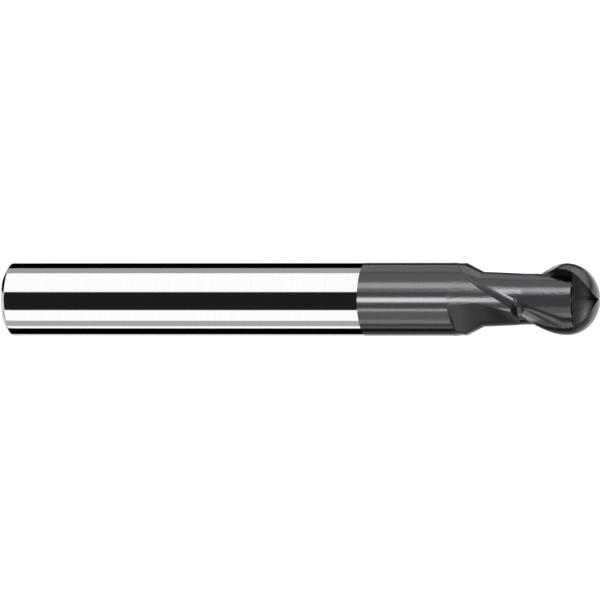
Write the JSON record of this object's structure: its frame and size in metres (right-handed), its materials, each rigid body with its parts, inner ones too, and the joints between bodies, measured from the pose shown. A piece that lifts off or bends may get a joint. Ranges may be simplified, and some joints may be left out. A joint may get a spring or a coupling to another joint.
{
  "type": "ball nose end mill",
  "caption": "Solid carbide ball nose end mill: bare cylindrical shank, coated front, right-hand helical flutes, slim neck and ball head with cutting teeth.",
  "frame": {"origin": "centre of the flat back face of the shank", "axes": "+Z along the tool axis from the back face to the cutting tip; +X lies in the middle of a flute where the head is widest, 55 degrees from a cutting edge"},
  "size_m": [0.006, 0.006, 0.05],
  "materials": {
    "bare_carbide": "ground and polished cemented carbide",
    "coated_carbide": "satin violet-grey hard coating on ground carbide"
  },
  "bodies": {
    "root": {"shank": "bare_carbide", "coated_shank": "coated_carbide", "fluted_body": "coated_carbide", "neck": "coated_carbide", "ball_head": "coated_carbide"}
  },
  "joints": []
}
